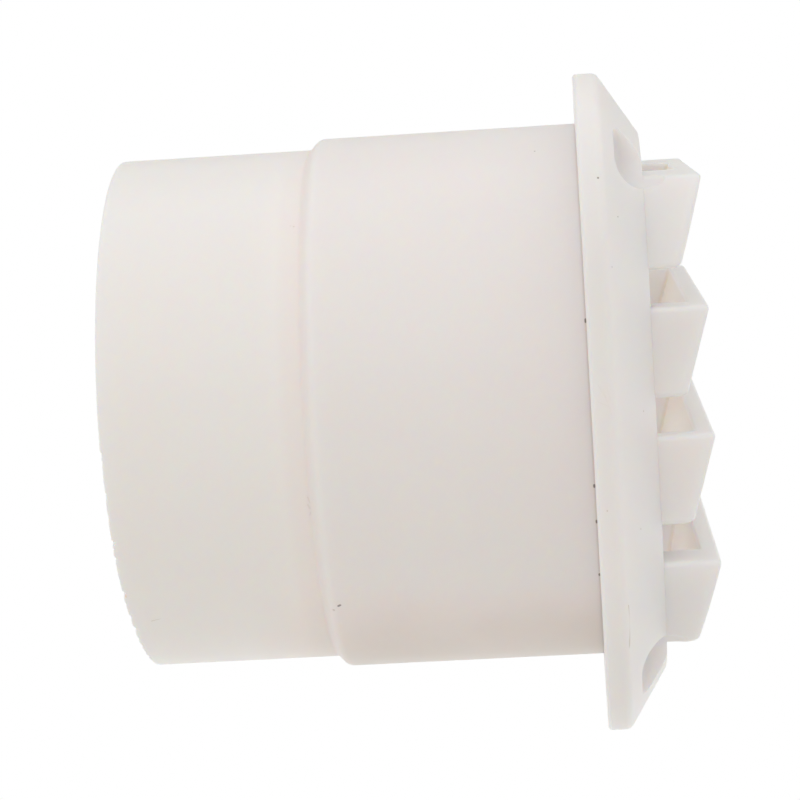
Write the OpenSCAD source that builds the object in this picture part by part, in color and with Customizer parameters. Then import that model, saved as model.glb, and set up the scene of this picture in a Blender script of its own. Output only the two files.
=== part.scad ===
/* Round duct vent with a louvred face.

   Frame: millimetres, +Z up as fitted on a wall. The origin is on the duct
   axis in the wall plane, which is the back of the face plate. The duct runs
   along +Y into the wall, and the louvres stand out along -Y with their
   mouths facing down.
*/

/* [Duct] */
// Outer diameter of the spigot, the thinner end of the duct
spigot_d = 100; // [96:0.5:104]
// Wall of the spigot. The bore has one diameter from its mouth to the flat
spigot_wall = 3; // [2:0.1:5]
// Length of the spigot
spigot_l = 38; // [15:1:80]
// Height of the step up to the collar, the thicker part at the face plate
collar_step = 2; // [1.5:0.1:4]
// Length of the collar
collar_l = 51; // [15:1:100]
// Radius of the rounded edge at the spigot's mouth
mouth_round = 0.4; // [0.2:0.1:1]
// Radius of the rounded edge where the collar steps down to the spigot
step_round = 2.2; // [0.5:0.1:2.2]
// How far the face of the step leans, in degrees from square to the duct
step_lean = 40; // [30:5:45]

/* [Face plate] */
// Height of the collar's root, which belongs to the face plate
root_l = 1; // [0.5:0.1:5]
// Width and height of the face plate
plate_w = 123; // [120:0.5:140]
// Radius of the face plate's corners
plate_corner = 36; // [30:1:45]
// Thickness of the straight rim of the face plate
rim_t = 4.2; // [2:0.1:6]
// Size of the small broken edge round the back of the rim
rim_edge = 0.5; // [0.2:0.1:1]
// Height of the bevel between the rim and the front flat
bevel_h = 7.3; // [6:0.1:10]
// Width of the bevel, measured across the plate
bevel_w = 11.5; // [8:0.5:12]
// Thickness of the front flat between the louvres
flat_t = 3; // [2:0.1:4]

/* [Louvres] */
// Number of louvre hoods
hood_count = 4; // [2:1:4]
// Distance from one hood to the next
hood_pitch = 23; // [20:0.1:24]
// Height of one hood, from its mouth to its closed top
hood_h = 16.3; // [12:0.1:18]
// How far a hood stands out of the flat at its mouth
hood_out = 10.6; // [8:0.1:16]
// How far a hood stands out of the flat at its closed top
hood_top_out = 5.7; // [5:0.1:7.5]
// Wall of a hood, measured along the duct
hood_wall = 3.6; // [2.5:0.1:4]
// Roof of a hood, measured up and down
hood_roof = 3; // [2:0.1:4]
// Radius of a hood's front edge at its mouth
hood_mouth_round = 0.4; // [0.3:0.1:1.4]
// Radius of a hood's front edge at its closed top
hood_top_round = 1.2; // [0.3:0.1:1.6]
// How far the rooms in the hoods stop short of the bore's wall
room_inset = 1; // [0.5:0.1:3]

/* [Screw pockets] */
// Distance between the screws, across the plate
screw_dx = 91.5; // [90:0.5:96]
// Distance between the screws, up the plate
screw_dz = 93; // [90:0.5:96]
// Diameter of the clearance hole for a screw
screw_hole_d = 4.2; // [3:0.1:5]
// Diameter of the pocket for a screw's head
pocket_d = 11.8; // [11:0.2:13]
// Thickness of the plate left under a screw's head
pocket_floor = 6.5; // [4:0.1:6.6]
// Radius of the rounded edge round a pocket's floor
pocket_edge = 1.6; // [1:0.1:3]
// How far a pocket's straight wall runs past the flat, up to its dome
pocket_rise = 0.8; // [0:0.1:3]

/* [Hidden] */

// Pieces in a full turn of the round forms
round_steps = 128;
// Pieces in the arc of a small rounded edge
edge_steps = 6;
// Overlap that joins neighbouring forms and lets a cut break through
eps = 0.05;

spigot_r = spigot_d / 2;
collar_r = spigot_r + collar_step;
bore_r = spigot_r - spigot_wall;
room_r = bore_r - room_inset;
duct_l = collar_l + spigot_l;
plate_half = plate_w / 2;
flat_half = plate_half - bevel_w;
flat_front = rim_t + bevel_h;
flat_back = flat_front - flat_t;
hood_front = flat_front + hood_out;
hoods_h = (hood_count - 1) * hood_pitch + hood_h;
// How much a hood's front falls back for each millimetre up, and its angle
hood_slope = (hood_out - hood_top_out) / hood_h;
hood_lean = atan(hood_slope);
pocket_r = pocket_d / 2;

// Points of a round corner about a centre, from one angle to another
function arc(cx, cy, r, a0, a1) =
    [for (i = [0 : edge_steps])
        let (a = a0 + (a1 - a0) * i / edge_steps)
        [cx + r * cos(a), cy + r * sin(a)]];

// Height of the mouth of hood i, counted from the bottom
function mouth_y(i) = i * hood_pitch - hoods_h / 2;

// The forms below are drawn lying on their back: x runs across the plate,
// y up the plate and z straight out of the wall. stand_up() stands them up.

module stand_up() {
    rotate([90, 0, 0])
        children();
}

// Square slab with round corners. Its sides lean in by lean over its height.
module leaning_slab(half, corner, h, lean) {
    arm = half - corner;
    for (turn = [0, 90])
        rotate(turn)
            translate([0, arm, 0])
                rotate([90, 0, 0])
                    linear_extrude(2 * arm)
                        polygon([[-half, 0], [half, 0], [half - lean, h], [lean - half, h]]);
    for (x = [-arm, arm], y = [-arm, arm])
        translate([x, y, 0])
            cylinder(h = h, r1 = corner, r2 = corner - lean, $fn = round_steps);
}

// Straight rim with its back edge broken, then the bevel up to the flat
module plate_form() {
    leaning_slab(plate_half - rim_edge, plate_corner - rim_edge, rim_edge, -rim_edge);
    translate([0, 0, rim_edge])
        leaning_slab(plate_half, plate_corner, rim_t - rim_edge, 0);
    translate([0, 0, rim_t])
        leaning_slab(plate_half, plate_corner, bevel_h, bevel_w);
}

// Wall of the duct, one profile turned about its axis, down to the collar's root
module stepped_tube() {
    mouth = arc(spigot_r - mouth_round, mouth_round - duct_l, mouth_round, -90, 0);
    step = arc(collar_r - step_round, step_round - collar_l, step_round, step_lean - 90, 0);
    face_l = (step[0].x - spigot_r) * tan(step_lean);
    rotate_extrude($fn = round_steps)
        polygon(concat(
            [[bore_r, -duct_l]],
            mouth,
            [[spigot_r, step[0].y - face_l]],
            step,
            [[collar_r, -root_l], [bore_r, -root_l]]));
}

// Lays a side outline, drawn as [out of the wall, up], across the plate
module across(width) {
    rotate([0, -90, 0])
        linear_extrude(width, center = true)
            children();
}

// Side outline of a hood: furthest out at its mouth, closed at its top
module hood_outline() {
    mouth_x = hood_front - hood_mouth_round * (1 + sin(hood_lean)) / cos(hood_lean);
    top_x = flat_front + hood_top_out - hood_top_round * (1 - sin(hood_lean)) / cos(hood_lean);
    polygon(concat(
        [[flat_front, 0]],
        arc(mouth_x, hood_mouth_round, hood_mouth_round, -90, hood_lean),
        arc(top_x, hood_h - hood_top_round, hood_top_round, hood_lean, 90),
        [[flat_front, hood_h]]));
}

// Side outline of the room in a hood, open at its mouth and to the duct
module room_outline() {
    front = hood_front - hood_wall;
    room_h = hood_h - hood_roof;
    polygon([
        [flat_back - eps, -eps],
        [front + hood_slope * eps, -eps],
        [front - hood_slope * room_h, room_h],
        [flat_back - eps, room_h]]);
}

// All hoods, standing on the flat. Their ends follow its sides and corners
module hood_forms() {
    intersection() {
        for (i = [0 : hood_count - 1])
            translate([0, mouth_y(i), 0])
                across(2 * flat_half)
                    hood_outline();
        leaning_slab(flat_half, plate_corner - bevel_w, hood_front, 0);
    }
}

// The rooms in the hoods, with the slots that lead into them from the bore
module rooms() {
    intersection() {
        for (i = [0 : hood_count - 1])
            translate([0, mouth_y(i), 0])
                across(2 * bore_r)
                    room_outline();
        cylinder(h = hood_front, r = room_r, $fn = round_steps);
    }
}

// The bore's last stretch, from the collar's root to the back of the flat
module bore_end() {
    translate([0, 0, -2 * root_l])
        cylinder(h = 2 * root_l + flat_back, r = bore_r, $fn = round_steps);
}

// Screw hole with a pocket that is domed where it bites into a hood
module screw_pocket() {
    wall_end = flat_front + pocket_rise;
    translate([0, 0, -1])
        cylinder(h = pocket_floor + 2, d = screw_hole_d, $fn = round_steps);
    rotate_extrude($fn = round_steps)
        polygon(concat(
            [[0, pocket_floor]],
            arc(pocket_r - pocket_edge, pocket_floor + pocket_edge, pocket_edge, -90, 0),
            [[pocket_r, wall_end], [0, wall_end]]));
    translate([0, 0, wall_end])
        sphere(r = pocket_r, $fn = round_steps);
}

module screw_pockets() {
    for (x = [-0.5, 0.5], y = [-0.5, 0.5])
        translate([x * screw_dx, y * screw_dz, 0])
            screw_pocket();
}

module duct() {
    color("white")
        stand_up()
            stepped_tube();
}

module face_plate() {
    color("whitesmoke")
        stand_up()
            difference() {
                union() {
                    plate_form();
                    translate([0, 0, -root_l])
                        cylinder(h = root_l + eps, r = collar_r, $fn = round_steps);
                }
                bore_end();
                rooms();
                screw_pockets();
            }
}

module louvre_hoods() {
    color("ivory")
        stand_up()
            difference() {
                hood_forms();
                rooms();
                screw_pockets();
            }
}

duct();
face_plate();
louvre_hoods();
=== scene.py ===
"""Louvred duct vent: looks, light and camera. Metres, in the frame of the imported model."""
import math
import random

import bmesh
import bpy
from mathutils import Matrix, Vector


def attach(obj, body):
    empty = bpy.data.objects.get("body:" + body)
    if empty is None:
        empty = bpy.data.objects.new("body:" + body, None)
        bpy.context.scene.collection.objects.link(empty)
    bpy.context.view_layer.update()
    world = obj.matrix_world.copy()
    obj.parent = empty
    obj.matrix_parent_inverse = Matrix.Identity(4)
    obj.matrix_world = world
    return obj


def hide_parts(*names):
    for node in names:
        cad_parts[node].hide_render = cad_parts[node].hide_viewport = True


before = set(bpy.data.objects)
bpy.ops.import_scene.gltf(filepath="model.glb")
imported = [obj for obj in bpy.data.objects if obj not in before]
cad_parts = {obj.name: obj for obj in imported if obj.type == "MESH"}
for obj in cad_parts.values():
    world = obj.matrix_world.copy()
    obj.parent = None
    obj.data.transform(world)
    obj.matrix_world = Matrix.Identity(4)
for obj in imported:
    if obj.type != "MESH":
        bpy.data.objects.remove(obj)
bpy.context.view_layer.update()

# Sizes and places are in millimetres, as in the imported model. Camera and stage are in metres.
MM = 0.001

# Camera
# The photograph shows the vent upside down, so the camera's up is about -Z.
CAM_PLACE = Vector((0.52429, 0.00111, -0.06152))
CAM_RIGHT = Vector((-0.06165, -0.99610, 0.06317))
CAM_UP = Vector((-0.12056, -0.05540, -0.99116))
CAM_BACK = Vector((0.99079, -0.06872, -0.11668))
SENSOR = 36.0
LENS = 120.27

# Colours of the plastic, and of the painted light and shade on it
CLEAN = (0.948, 0.905, 0.908)
CLOUDED = (0.940, 0.896, 0.895)
# Painted shade, darker and warmer, for the duct's +Z side
DUCT_SIDE_SHADE = (0.77, 0.71, 0.645)
GRIME = (0.50, 0.42, 0.33)
# Painted shade for the spigot beside the step's foot
STEP_FOOT_SHADE = (0.77, 0.77, 0.765)
RUST = (0.76, 0.50, 0.28)
SMUT = (0.16, 0.13, 0.11)
SCUFF = (0.80, 0.76, 0.72)
# Painted light in the hoods' rooms, painted warm shade on the rooms' front walls and a painted
# highlight on the mouths' lips
ROOM_PAINTED_LIGHT = (0.965, 0.942, 0.915)
ROOM_FRONT_PAINTED_SHADE = (0.905, 0.872, 0.815)
LIP_PAINTED_HIGHLIGHT = (0.975, 0.957, 0.942)

# The plastic: gloss, and how far light travels inside it, in metres and by colour
GLOSS_ROUGHNESS = 0.3
SCATTER_DEPTH = 0.003
SCATTER_COLOURS = (1.0, 0.8, 0.6)
# Soft clouding all over: size of the pattern as noise scale, its detail, and its limits
CLOUD_NOISE = (28, 3)
CLOUD_LIMITS = (0.35, 0.7)
# Painted shade on the duct's +Z side: by height, with a ragged edge, and where it fades out along the
# duct
DUCT_SHADE_NOISE = (60, 4)
DUCT_SHADE_RAGGED = 8.0
DUCT_SHADE_UP = (30.0, 60.0)
DUCT_SHADE_ALONG = (70.0, 44.0)
DUCT_SHADE_STOP = (-0.3, 0.3)

# Marks seen on the vent: start, stop and half width
SPECKS = (
    ((40.1, 48.5, 33.2), (40.2, 48.2, 33.0), 0.22),
    ((20.7, 7.8, -47.7), (20.7, 7.8, -47.7), 0.13),
    ((56.7, -3.4, -43.4), (56.7, -3.4, -43.4), 0.17),
    ((56.0, -6.5, -36.4), (56.0, -6.5, -36.4), 0.10),
    ((60.2, -4.9, -28.0), (60.2, -4.9, -28.0), 0.10),
    ((7.3, -19.9, -19.6), (7.3, -19.9, -19.6), 0.12),
    ((48.9, 0.1, -17.7), (48.8, 0.1, -18.1), 0.20),
    ((50.7, 0.2, 11.5), (50.7, 0.2, 11.8), 0.20),
    ((48.7, 0.1, 18.3), (48.6, 0.1, 18.6), 0.20),
    ((43.1, 0.1, 29.1), (43.0, 0.1, 29.3), 0.20),
)
FAINT_SPECKS = (
    ((33.7, 52.7, -37.0), (33.7, 52.7, -37.0), 0.14),
    ((33.5, 53.3, -37.1), (33.5, 53.3, -37.1), 0.09),
    ((35.6, 84.3, 35.1), (36.0, 82.4, 34.6), 0.07),
    ((39.1, 49.5, 34.0), (39.1, 49.5, 34.0), 0.25),
    ((53.6, -9.2, -1.7), (53.6, -9.2, -1.7), 0.15),
    ((56.2, -7.6, 18.9), (56.2, -7.6, 18.9), 0.15),
    ((61.5, -1.8, 14.5), (61.5, -1.8, 14.5), 0.12),
    ((60.2, -4.6, 31.7), (58.0, -4.5, 40.2), 0.12),
)
DIRT_PATCHES = (
    ((48.7, 51.9, 11.2), (48.5, 51.6, 12.2), 0.14),
    ((48.4, 52.0, 12.7), (48.2, 51.7, 13.3), 0.18),
    ((48.0, 51.6, 14.1), (47.9, 51.9, 14.7), 0.12),
)
RUSTY_CHIP = (
    ((41.1, 88.0, 28.6), (40.6, 88.0, 29.3), 0.30),
)
SCUFFS = (
    ((61.5, -1.4, -7.7), (61.5, -2.6, -5.4), 0.10),
    ((61.5, -2.2, -6.9), (61.5, -3.5, -2.3), 0.08),
    ((61.5, -1.2, -4.8), (61.5, -2.9, -3.9), 0.10),
    ((61.5, -2.9, -7.2), (61.5, -3.4, -5.0), 0.08),
)
# Each kind of mark with its colour and strength
MARKS = (
    (DIRT_PATCHES, GRIME, 0.14),
    (FAINT_SPECKS, GRIME, 0.45),
    (SCUFFS, SCUFF, 0.12),
    (RUSTY_CHIP, RUST, 0.55),
    (SPECKS, SMUT, 0.75),
)
# How a mark and a groove fade at their edges, in parts of the half width
MARK_FADE = (1.5, 0.6)
GROOVE_FADE = (1.6, 0.5)

# Stage and lights
FLOOR_Z = -0.20
FLOOR_HALF = 2.6
FLOOR_GREY = (0.86, 0.86, 0.85, 1)
FLOOR_ROUGHNESS = 0.8
SKY_WHITE = (1, 1, 1, 1)
SKY_DIM = (0.62, 0.60, 0.56, 1)
SKY_DIM_TOWARDS = (0.6, 0, 0.8)
SKY_DIM_FROM = -0.3
# Name, place, aim, size, power and colour. The weak lamp in the bore shines through the hoods,
# as daylight does through the open duct.
LAMPS = (
    ("under_light", (0.24, 0.12, FLOOR_Z + 0.01), (0.24, 0.12, 0), (0.6, 0.7), 0.4, (0.95, 0.95, 1)),
    ("duct_light", (0, 0.06, 0), (0, 0, 0), (0.06, 0.06), 0.013, (1, 1, 1)),
)

# Duct
BORE_R = 47.0
SPIGOT_R = 50.0
COLLAR_R = 52.0
DUCT_END = 89.0
MOUTH_ROUND = 0.4
STEP_AT = 51.0
STEP_ROUND = 2.2
STEP_LEAN = math.radians(40)
TURN_STEPS = 1200
BORE_EDGE = 0.2
# Small hollow at the foot of the step: out from the spigot, and along from the foot
STEP_FOOT = ((0, 1), (0, 0.4), (0.06, 0.1), (0.3, -0.22))
# Where the mesh has rings along the duct, closer together at the worn mouth
BORE_ROWS = (-1, 30, 60, 80, 87, 88, 88.5)
SPIGOT_ROWS = (88.3, 88, 87.6, 87, 86, 80, 70, 60)
COLLAR_ROWS = (47, 40, 20, 4, 0, -1)
MOUTH_FACE_ROWS = 3
MOUTH_FACE_STEP = 0.6
# Darker rings round the duct, a thin dark line where the collar meets the plate and painted shade on
# the spigot beside the step's foot: radius, y, half width, colour and strength
GROOVES = (
    (COLLAR_R, 0.1, 0.2, GRIME, 0.2),
    (SPIGOT_R, 52.6, 2.6, STEP_FOOT_SHADE, 0.17),
)

# Wear on the spigot's mouth, by the angle round it in degrees: 0 across, 90 up
WORN_FROM = 12.0
WORN_TO = 68.0
WORN_END = 150.0
WORN_DEPTH = 1.0
SAW_FROM = 0.8
SAW_STEP = 0.2
# Ragged edge: its depth, its seed, the angle it is full from, and its share elsewhere
RAGGED = 0.09
RAGGED_SEED = 7
RAGGED_FROM = -5.0
RAGGED_ELSEWHERE = 0.3
# The wear fades in along the duct, and the chips fade in from the bore to the outer edge
WORN_Y = 82.0
WORN_Y_FADE = 5.5
CHIP_R = 48.4
CHIP_R_FADE = 1.5
# Chips in the edge: where they start and how wide they are, in degrees, and how deep
CHIPS = (
    (1.1, 1.2, 0.20), (3.0, 1.0, 0.16), (10.0, 2.0, 0.34), (15.0, 1.4, 0.22), (21.0, 1.6, 0.60),
    (22.9, 0.9, 0.22), (25.2, 1.4, 0.45), (34.7, 1.9, 0.62), (38.4, 0.9, 0.16), (42.6, 2.2, 0.36),
    (47.2, 2.6, 0.46), (51.8, 1.2, 0.20), (55.6, 1.8, 0.34), (59.5, 1.0, 0.22), (63.0, 2.2, 0.36),
    (68.0, 1.3, 0.24), (72.0, 1.8, 0.40), (76.4, 1.1, 0.22), (80.0, 1.6, 0.34), (97.0, 2.2, 0.40),
    (118.0, 1.5, 0.26),
)
# A thread of plastic the saw left on the edge: radius, y and half thickness
BURR_AT = 84.0
BURR = ((49.8, 88.2, 0.08), (50.5, 87.7, 0.07), (50.9, 86.8, 0.05), (51.1, 85.8, 0.02))

# Face plate
PLATE_HALF = 61.5
CORNER_ARM = 25.5
RIM_EDGE = 0.5
RIM_T = 4.2
FLAT_HALF = 50.0
FLAT_AT = 11.5
FLAT_BACK = 8.5
CORNER_STEPS = 32
# Soft edges of the plate, from its back round the rim and bevel to the flat
BACK_SOFT = 0.3
RIM_SOFT = 0.5
BEVEL_SOFT = 1.8
FLAT_SOFT = 1.5
# How far the back and the flat are drawn in from their edges before they are closed
BACK_IN = 0.5
FLAT_IN = 3
# Where the cuts through the plate start, behind its back, and a ring of the bore inside it
CUT_START = -1.0
BORE_MIDDLE = 4.0

# Louvres
HOODS = 4
HOOD_PITCH = 23.0
HOOD_H = 16.3
HOOD_OUT = 10.6
HOOD_SLOPE = 4.9 / 16.3
HOOD_WALL = 3.6
ROOM_H = 13.3
ROOM_R = 46.0
HOOD_EDGE = 1.3
MOUTH_EDGE = 1.1
TOP_EDGE = 1.2
# Level sections of a hood between its soft ends, a millimetre apart
HOOD_BODY_FROM = 2.0
HOOD_LEVELS = 13
# How deep a hood's form stands in the flat, and a room's form in the bore's end
HOOD_ROOT = 1.5
ROOM_ROOT = 0.3
ROOM_EDGE = 0.5
ROOM_LEVELS = 16
# Soft edge of a room's mouth: height over the mouth, and how much wider the room is there
MOUTH_FLARE = ((-0.1, 0.4), (0.0, 0.35), (0.05, 0.2), (0.2, 0.08), (0.4, 0))

# Limits of the painted light and shade in and round the rooms, each from none to full:
# behind the front wall, out from the axis, along the duct, and up from the mouth and to the roof
ROOM_BEHIND = (-1.2, -0.4)
ROOM_ACROSS = (48.0, 46.5)
ROOM_OUT = (-8.6, -9.2)
ROOM_FROM = (0.25, 0.5)
ROOM_TO = (14.8, 13.6)
ROOM_FRONT = (1.0, 0.4)
# The painted highlight on the lip of a mouth: up or down from it, and along the duct
LIP_LEVEL = (0.9, 0.3)
LIP_OUT = (-11.6, -12.0)
# Where one hood's stretch of height starts, below its mouth
LIP_BELOW = 1.0

# Screw pockets
SCREW_X = 45.75
SCREW_Z = 46.5
HOLE_R = 2.1
POCKET_R = 5.9
POCKET_FLOOR = 6.5
POCKET_EDGE = 1.6
POCKET_WALL_END = 12.3
DOME_TIP_R = 0.05
HOLE_STEPS = 96

# Mesh: places closer than this, in metres, become one, and edges steeper than this stay sharp
WELD = 2e-6
SHARP_ANGLE = math.radians(32)


def add_camera():
    data = bpy.data.cameras.new("camera")
    data.sensor_width = SENSOR
    data.lens = LENS
    data.clip_start = 0.01
    data.clip_end = 20.0
    cam = bpy.data.objects.new("camera", data)
    turn = Matrix((CAM_RIGHT, CAM_UP, CAM_BACK)).transposed().to_4x4()
    cam.matrix_world = Matrix.Translation(CAM_PLACE) @ turn
    bpy.context.collection.objects.link(cam)
    bpy.context.scene.camera = cam


def add_world():
    """White behind and below the vent, a little dimmer from above and in front."""
    world = bpy.data.worlds.new("studio")
    world.use_nodes = True
    tree = world.node_tree
    coords = tree.nodes.new("ShaderNodeTexCoord")
    along = tree.nodes.new("ShaderNodeVectorMath")
    along.operation = "DOT_PRODUCT"
    along.inputs[1].default_value = SKY_DIM_TOWARDS
    spread = tree.nodes.new("ShaderNodeMapRange")
    spread.inputs["From Min"].default_value = SKY_DIM_FROM
    spread.inputs["From Max"].default_value = 1
    ramp = tree.nodes.new("ShaderNodeValToRGB")
    marks = ramp.color_ramp.elements
    marks[0].color = SKY_WHITE
    marks[1].color = SKY_DIM
    tree.links.new(coords.outputs["Generated"], along.inputs[0])
    tree.links.new(along.outputs["Value"], spread.inputs["Value"])
    tree.links.new(spread.outputs["Result"], ramp.inputs["Fac"])
    tree.links.new(ramp.outputs["Color"], tree.nodes["Background"].inputs["Color"])
    tree.nodes["Background"].inputs["Strength"].default_value = 1.0
    bpy.context.scene.world = world


def add_lamp(name, place, aim, size, power, colour):
    data = bpy.data.lights.new(name, "AREA")
    data.color = colour
    data.shape = "RECTANGLE"
    data.size, data.size_y = size
    data.energy = power
    lamp = bpy.data.objects.new(name, data)
    lamp.location = place
    lamp.rotation_mode = "QUATERNION"
    lamp.rotation_quaternion = (Vector(aim) - Vector(place)).to_track_quat("-Z", "Y")
    lamp.visible_camera = False
    bpy.context.collection.objects.link(lamp)


def add_floor():
    data = bpy.data.meshes.new("floor")
    h = FLOOR_HALF
    data.from_pydata([(-h, -h, FLOOR_Z), (h, -h, FLOOR_Z), (h, h, FLOOR_Z), (-h, h, FLOOR_Z)],
                     [], [(0, 1, 2, 3)])
    floor = bpy.data.objects.new("floor", data)
    bpy.context.collection.objects.link(floor)
    mat = bpy.data.materials.new("pale_floor")
    mat.use_nodes = True
    shader = mat.node_tree.nodes["Principled BSDF"]
    shader.inputs["Base Color"].default_value = FLOOR_GREY
    shader.inputs["Roughness"].default_value = FLOOR_ROUGHNESS
    data.materials.append(mat)


class Nodes:
    """Short names for the nodes a material is made of."""

    def __init__(self, tree):
        self.tree = tree
        self.place = tree.nodes.new("ShaderNodeTexCoord").outputs["Object"]
        self.x, self.y, self.z = self.new("ShaderNodeSeparateXYZ", (self.place,)).outputs

    def new(self, kind, values, operation=None):
        node = self.tree.nodes.new(kind)
        if operation:
            node.operation = operation
        for socket, value in zip(node.inputs, values):
            if isinstance(value, bpy.types.NodeSocket):
                self.tree.links.new(value, socket)
            else:
                socket.default_value = value
        return node

    def math(self, operation, a, b=0.0):
        return self.new("ShaderNodeMath", (a, b), operation).outputs[0]

    def vector(self, operation, a, b=(0, 0, 0)):
        outputs = self.new("ShaderNodeVectorMath", (a, b), operation).outputs
        return outputs["Value"] if operation in ("LENGTH", "DOT_PRODUCT") else outputs["Vector"]

    def fade(self, value, start, stop):
        """From 0 at start to 1 at stop, with soft ends."""
        node = self.tree.nodes.new("ShaderNodeMapRange")
        node.interpolation_type = "SMOOTHSTEP"
        self.tree.links.new(value, node.inputs["Value"])
        node.inputs["From Min"].default_value = start
        node.inputs["From Max"].default_value = stop
        return node.outputs["Result"]

    def fade_mm(self, value, limits):
        """As fade, between two limits in millimetres."""
        return self.fade(value, limits[0] * MM, limits[1] * MM)

    def near_line(self, start, stop, r):
        """1 within r of the line between two places."""
        a = Vector(start) * MM
        along = Vector(stop) * MM - a
        reach = max(along.length, 1e-6)
        off = self.vector("SUBTRACT", self.place, a)
        run = self.vector("DOT_PRODUCT", off, along / reach if along.length else (1, 0, 0))
        run = self.math("MINIMUM", self.math("MAXIMUM", run, 0.0), reach)
        foot = self.new("ShaderNodeVectorMath", (along / reach,), "SCALE")
        self.tree.links.new(run, foot.inputs["Scale"])
        gap = self.vector("LENGTH", self.vector("SUBTRACT", off, foot.outputs["Vector"]))
        return self.fade(gap, *(part * r * MM for part in MARK_FADE))

    def from_axis(self):
        """Distance from the duct's axis."""
        squares = self.math("ADD", self.math("POWER", self.x, 2), self.math("POWER", self.z, 2))
        return self.math("SQRT", squares)

    def near_ring(self, ring_r, y, r):
        """1 within r of a ring about the duct's axis."""
        dr = self.math("POWER", self.math("SUBTRACT", self.from_axis(), ring_r * MM), 2)
        dy = self.math("POWER", self.math("SUBTRACT", self.y, y * MM), 2)
        gap = self.math("SQRT", self.math("ADD", dr, dy))
        return self.fade(gap, *(part * r * MM for part in GROOVE_FADE))

    def hood_light_and_shade_masks(self):
        """Where the painted light in the hoods' rooms, the painted warm shade on the rooms' front walls
        and the painted highlight on the mouths' lips go.
        """
        start = (mouth_z(0) - LIP_BELOW) * MM
        up = self.math("FLOORED_MODULO", self.math("SUBTRACT", self.z, start), HOOD_PITCH * MM)
        up = self.math("SUBTRACT", up, LIP_BELOW * MM)
        front = self.math("MULTIPLY", up, -HOOD_SLOPE)
        front = self.math("ADD", front, (FLAT_AT + HOOD_OUT - HOOD_WALL) * MM)
        deep = self.math("ADD", self.y, front)
        across = self.from_axis()
        limits = ((deep, ROOM_BEHIND), (across, ROOM_ACROSS), (self.y, ROOM_OUT))
        limits += ((up, ROOM_FROM), (up, ROOM_TO))
        room = 1.0
        for value, limit in limits:
            room = self.math("MULTIPLY", self.fade_mm(value, limit), room)
        wall = self.math("MULTIPLY", room, self.fade_mm(deep, ROOM_FRONT))
        level = self.fade_mm(self.math("ABSOLUTE", up), LIP_LEVEL)
        lip = self.math("MULTIPLY", level, self.fade_mm(self.y, LIP_OUT))
        return room, wall, lip

    def noise(self, scale, detail):
        node = self.tree.nodes.new("ShaderNodeTexNoise")
        self.tree.links.new(self.place, node.inputs["Vector"])
        node.inputs["Scale"].default_value = scale
        node.inputs["Detail"].default_value = detail
        return node.outputs["Fac"]

    def tint(self, colour, factor, other, strength=1.0):
        node = self.tree.nodes.new("ShaderNodeMix")
        node.data_type = "RGBA"
        if strength != 1.0:
            factor = self.math("MULTIPLY", factor, strength)
        self.tree.links.new(factor, node.inputs["Factor"])
        # Sockets 6 and 7 hold the two colours, and output 2 the mixed one
        for socket, value in ((node.inputs[6], colour), (node.inputs[7], other)):
            if isinstance(value, bpy.types.NodeSocket):
                self.tree.links.new(value, socket)
            else:
                socket.default_value = (*value, 1)
        return node.outputs[2]


def white_plastic():
    mat = bpy.data.materials.new("white_plastic")
    mat.use_nodes = True
    shader = mat.node_tree.nodes["Principled BSDF"]
    shader.inputs["Roughness"].default_value = GLOSS_ROUGHNESS
    shader.inputs["Subsurface Weight"].default_value = 1.0
    shader.inputs["Subsurface Scale"].default_value = SCATTER_DEPTH
    shader.inputs["Subsurface Radius"].default_value = SCATTER_COLOURS
    n = Nodes(mat.node_tree)
    colour = n.tint(CLEAN, n.fade(n.noise(*CLOUD_NOISE), *CLOUD_LIMITS), CLOUDED)
    # Painted shade, darker and warmer, on the duct's +Z side, with a ragged edge
    ragged = n.math("ADD", n.z, n.math("MULTIPLY", n.noise(*DUCT_SHADE_NOISE), DUCT_SHADE_RAGGED * MM))
    side = n.math("MULTIPLY", n.fade_mm(ragged, DUCT_SHADE_UP), n.fade_mm(n.y, DUCT_SHADE_ALONG))
    colour = n.tint(colour, n.math("MULTIPLY", side, n.fade_mm(n.y, DUCT_SHADE_STOP)), DUCT_SIDE_SHADE)
    # Painted light in the rooms, painted warm shade on their front walls and a painted highlight on the
    # mouths' lips
    for mask, tone in zip(n.hood_light_and_shade_masks(), (ROOM_PAINTED_LIGHT, ROOM_FRONT_PAINTED_SHADE, LIP_PAINTED_HIGHLIGHT)):
        colour = n.tint(colour, mask, tone)
    # A thin dark line where the collar meets the plate, and painted shade on the spigot beside the
    # step's foot
    for ring_r, y, r, other, strength in GROOVES:
        colour = n.tint(colour, n.near_ring(ring_r, y, r), other, strength)
    for marks, other, strength in MARKS:
        for start, stop, r in marks:
            colour = n.tint(colour, n.near_line(start, stop, r), other, strength)
    mat.node_tree.links.new(colour, shader.inputs["Base Color"])
    return mat


def arc(cx, cy, r, a0, a1, steps):
    turns = [a0 + (a1 - a0) * i / steps for i in range(steps + 1)]
    return [(cx + r * math.cos(a), cy + r * math.sin(a)) for a in turns]


def rounded(corners, steps=5):
    """Polyline through (x, y, radius) corners, with an arc at each corner that has a radius."""
    line = []
    for i, (x, y, r) in enumerate(corners):
        if r == 0:
            line.append((x, y))
            continue
        here = Vector((x, y))
        back = (Vector(corners[i - 1][:2]) - here).normalized()
        ahead = (Vector(corners[i + 1][:2]) - here).normalized()
        half = back.angle(ahead) / 2
        centre = here + (back + ahead).normalized() * r / math.sin(half)
        start = here + back * r / math.tan(half)
        stop = here + ahead * r / math.tan(half)
        sweep = (start - centre).angle_signed(stop - centre)
        for k in range(steps + 1):
            spoke = (start - centre).copy()
            spoke.rotate(Matrix.Rotation(-sweep * k / steps, 2))
            line.append(tuple(centre + spoke))
    return line


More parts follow.
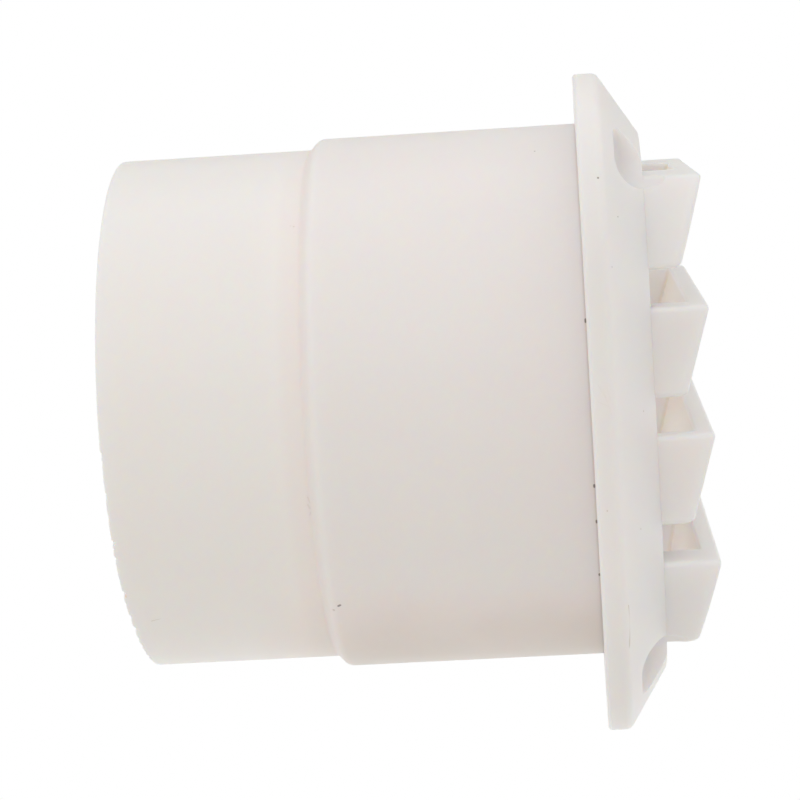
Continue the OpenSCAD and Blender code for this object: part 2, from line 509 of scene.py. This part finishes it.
def object_from(name, bm):
    bmesh.ops.recalc_face_normals(bm, faces=bm.faces)
    for face in bm.faces:
        face.smooth = True
    data = bpy.data.meshes.new(name)
    bm.to_mesh(data)
    bm.free()
    obj = bpy.data.objects.new(name, data)
    bpy.context.collection.objects.link(obj)
    return obj


def skin(bm, rings, ends=True, loop=False):
    """Faces between rings of points, each (across, out of the wall, up)."""
    rows = [[bm.verts.new((x * MM, -out * MM, z * MM)) for x, out, z in ring] for ring in rings]
    n = len(rows[0])
    for low, high in zip(rows, rows[1:] + rows[:1] if loop else rows[1:]):
        for k in range(n):
            bm.faces.new((low[k], low[(k + 1) % n], high[(k + 1) % n], high[k]))
    if ends and not loop:
        bm.faces.new(rows[0])
        bm.faces.new(rows[-1])


def circle(cx, cz, r, out, steps):
    return [(cx + x, out, cz + z) for x, z in arc(0, 0, r, 0, 2 * math.pi, steps)[:-1]]


def square_ring(half, out):
    """Outline of the plate at one depth: a square with round corners about fixed centres."""
    r = half - CORNER_ARM
    quarter = math.pi / 2
    ring = []
    for k, (sx, sz) in enumerate(((1, 1), (-1, 1), (-1, -1), (1, -1))):
        bend = arc(sx * CORNER_ARM, sz * CORNER_ARM, r, k * quarter, (k + 1) * quarter, CORNER_STEPS)
        ring += [(x, out, z) for x, z in bend]
    return ring


def plate_solid():
    profile = rounded([
        (PLATE_HALF - RIM_EDGE - BACK_IN, 0, 0), (PLATE_HALF - RIM_EDGE, 0, BACK_SOFT),
        (PLATE_HALF, RIM_EDGE, RIM_SOFT), (PLATE_HALF, RIM_T, BEVEL_SOFT),
        (FLAT_HALF, FLAT_AT, FLAT_SOFT), (FLAT_HALF - FLAT_IN, FLAT_AT, 0)])
    bm = bmesh.new()
    skin(bm, [square_ring(half, out) for half, out in profile])
    return object_from("plate_solid", bm)


def mouth_z(i):
    return i * HOOD_PITCH - ((HOODS - 1) * HOOD_PITCH + HOOD_H) / 2


def flat_width(z):
    over = max(0.0, abs(z) - CORNER_ARM)
    r = FLAT_HALF - CORNER_ARM
    return CORNER_ARM + math.sqrt(r * r - over * over)


def hood_ring(z, up, inset):
    """Level section of a hood, from the flat's inside round its front with soft corners."""
    w = flat_width(z) - inset
    front = FLAT_AT + HOOD_OUT - HOOD_SLOPE * up - inset
    back = FLAT_AT - HOOD_ROOT
    line = rounded([(-w, back, 0), (-w, front, HOOD_EDGE), (w, front, HOOD_EDGE), (w, back, 0)])
    return [(x, out, z) for x, out in line]


def hood_levels():
    """Heights over the mouth with the inset that softens a hood's mouth and closed top."""
    half = math.pi / 2
    low = [(MOUTH_EDGE + dz, MOUTH_EDGE + dx) for dx, dz in arc(0, 0, MOUTH_EDGE, -half, -math.pi, 4)]
    high = [(HOOD_H - TOP_EDGE + dz, TOP_EDGE + dx) for dx, dz in arc(0, 0, TOP_EDGE, math.pi, half, 6)]
    body = [(HOOD_BODY_FROM + k, 0) for k in range(HOOD_LEVELS)]
    return low + body + high


def hood_solids():
    bm = bmesh.new()
    for i in range(HOODS):
        z = mouth_z(i)
        skin(bm, [hood_ring(z + up, up, inset) for up, inset in hood_levels()])
    return object_from("hood_solids", bm)


def room_solids():
    """The rooms in the hoods, with a soft edge at their mouths."""
    flare_h = MOUTH_FLARE[-1][0]
    body = [(flare_h + (ROOM_H - flare_h) * k / ROOM_LEVELS, 0) for k in range(1, ROOM_LEVELS + 1)]
    back = FLAT_BACK - ROOM_ROOT
    bm = bmesh.new()
    for i in range(HOODS):
        rings = []
        for up, more in list(MOUTH_FLARE) + body:
            z = mouth_z(i) + up
            w = math.sqrt(ROOM_R * ROOM_R - z * z) + more
            front = FLAT_AT + HOOD_OUT - HOOD_WALL - HOOD_SLOPE * up + more
            line = rounded([(-w, back, 0), (-w, front, ROOM_EDGE), (w, front, ROOM_EDGE), (w, back, 0)])
            rings.append([(x, out, z) for x, out in line])
        skin(bm, rings)
    return object_from("room_solids", bm)


def hole_solids():
    """The bore's end and the four screw pockets with their holes."""
    bm = bmesh.new()
    outs = (CUT_START, BORE_MIDDLE, FLAT_BACK)
    skin(bm, [circle(0, 0, BORE_R, out, TURN_STEPS) for out in outs])
    floor = arc(POCKET_R - POCKET_EDGE, POCKET_FLOOR + POCKET_EDGE, POCKET_EDGE, -math.pi / 2, 0, 6)
    dome = arc(0, POCKET_WALL_END, POCKET_R, 0, math.pi / 2, 12)[:-1]
    hole = [(HOLE_R, CUT_START), (HOLE_R, POCKET_FLOOR)]
    profile = hole + floor + dome + [(DOME_TIP_R, POCKET_WALL_END + POCKET_R)]
    for sx in (-1, 1):
        for sz in (-1, 1):
            skin(bm, [circle(sx * SCREW_X, sz * SCREW_Z, r, out, HOLE_STEPS) for r, out in profile])
    return object_from("hole_solids", bm)


def combine(body, other, operation):
    mod = body.modifiers.new("combine", "BOOLEAN")
    mod.operation = operation
    mod.solver = "EXACT"
    mod.object = other
    deps = bpy.context.evaluated_depsgraph_get()
    data = bpy.data.meshes.new_from_object(body.evaluated_get(deps))
    body.modifiers.clear()
    body.data = data
    bpy.data.objects.remove(other)


def duct_profile():
    """The duct's wall as (radius, y), from the bore's root round the mouth to the collar's root."""
    half = math.pi / 2
    bore = [(BORE_R, y) for y in BORE_ROWS]
    inner = arc(BORE_R + BORE_EDGE, DUCT_END - BORE_EDGE, BORE_EDGE, math.pi, half, 3)
    steps = range(1, MOUTH_FACE_ROWS + 1)
    face = [(BORE_R + BORE_EDGE + k * MOUTH_FACE_STEP, DUCT_END) for k in steps]
    outer = arc(SPIGOT_R - MOUTH_ROUND, DUCT_END - MOUTH_ROUND, MOUTH_ROUND, half, 0, 5)
    spigot = [(SPIGOT_R, y) for y in SPIGOT_ROWS]
    step = arc(COLLAR_R - STEP_ROUND, STEP_AT - STEP_ROUND, STEP_ROUND, half - STEP_LEAN, 0, 8)
    foot_y = step[0][1] + (step[0][0] - SPIGOT_R) * math.tan(STEP_LEAN)
    foot = [(SPIGOT_R + out, foot_y + along) for out, along in STEP_FOOT]
    collar = [(COLLAR_R, y) for y in COLLAR_ROWS]
    return bore + inner + face + outer + spigot + foot + step + collar


def smooth_step(t):
    t = min(max(t, 0.0), 1.0)
    return t * t * (3 - 2 * t)


def worn_back(angle):
    """How far the mouth is worn back all through its wall."""
    fade = 1 - smooth_step((angle - WORN_TO) / (WORN_END - WORN_TO))
    worn = WORN_DEPTH * smooth_step((angle - WORN_FROM) / (WORN_TO - WORN_FROM))
    return (SAW_STEP * smooth_step(angle - SAW_FROM) + worn) * fade


def chipped(angle, ragged):
    """How far the mouth's outer edge is chipped. Each chip sets in over a fifth of its width."""
    deep = ragged if RAGGED_FROM < angle < WORN_END else ragged * RAGGED_ELSEWHERE
    for start, width, depth in CHIPS:
        t = (angle - start) / width
        if -0.2 < t < 1:
            deep += depth * (1 - t if t > 0 else 1 + t * 5)
    return deep


def duct_solid():
    rng = random.Random(RAGGED_SEED)
    jags = [rng.uniform(0, RAGGED) for _ in range(TURN_STEPS)]
    bm = bmesh.new()
    rings = []
    for r, y in duct_profile():
        ring = []
        hold = smooth_step((y - WORN_Y) / WORN_Y_FADE)
        outer = smooth_step((r - CHIP_R) / CHIP_R_FADE)
        for k in range(TURN_STEPS):
            angle = 360 * k / TURN_STEPS
            angle -= 360 if angle > 180 else 0
            shift = hold * (worn_back(angle) + outer * chipped(angle, jags[k])) if hold else 0
            turn = math.radians(angle)
            ring.append((r * math.cos(turn), shift - y, r * math.sin(turn)))
        rings.append(ring)
    skin(bm, rings, loop=True)
    turn = math.radians(BURR_AT)
    out = Vector((math.cos(turn), 0, math.sin(turn)))
    side = Vector((-math.sin(turn), 0, math.cos(turn)))
    thread = []
    for r, y, thick in BURR:
        ring = []
        for u, v in arc(0, 0, thick, 0, 2 * math.pi, 6)[:-1]:
            p = out * (r + u) + side * v
            ring.append((p.x, worn_back(BURR_AT) - y, p.z))
        thread.append(ring)
    skin(bm, thread)
    return object_from("duct_solid", bm)


def make_vent():
    vent = plate_solid()
    combine(vent, hood_solids(), "UNION")
    combine(vent, hole_solids(), "DIFFERENCE")
    combine(vent, room_solids(), "DIFFERENCE")
    combine(vent, duct_solid(), "UNION")
    bm = bmesh.new()
    bm.from_mesh(vent.data)
    bmesh.ops.remove_doubles(bm, verts=bm.verts, dist=WELD)
    bmesh.ops.dissolve_degenerate(bm, dist=WELD, edges=bm.edges)
    for face in bm.faces:
        face.smooth = True
    for edge in bm.edges:
        edge.smooth = edge.is_manifold and edge.calc_face_angle() < SHARP_ANGLE
    bm.to_mesh(vent.data)
    bm.free()
    vent.name = "vent_body"
    weigh = vent.modifiers.new("weigh", "WEIGHTED_NORMAL")
    weigh.keep_sharp = True
    return vent


add_camera()
add_world()
for lamp in LAMPS:
    add_lamp(*lamp)
add_floor()

vent = make_vent()
vent.data.materials.clear()
vent.data.materials.append(white_plastic())
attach(vent, "root")
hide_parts("duct", "face_plate", "louvre_hoods")

bpy.context.scene.view_settings.view_transform = "Standard"
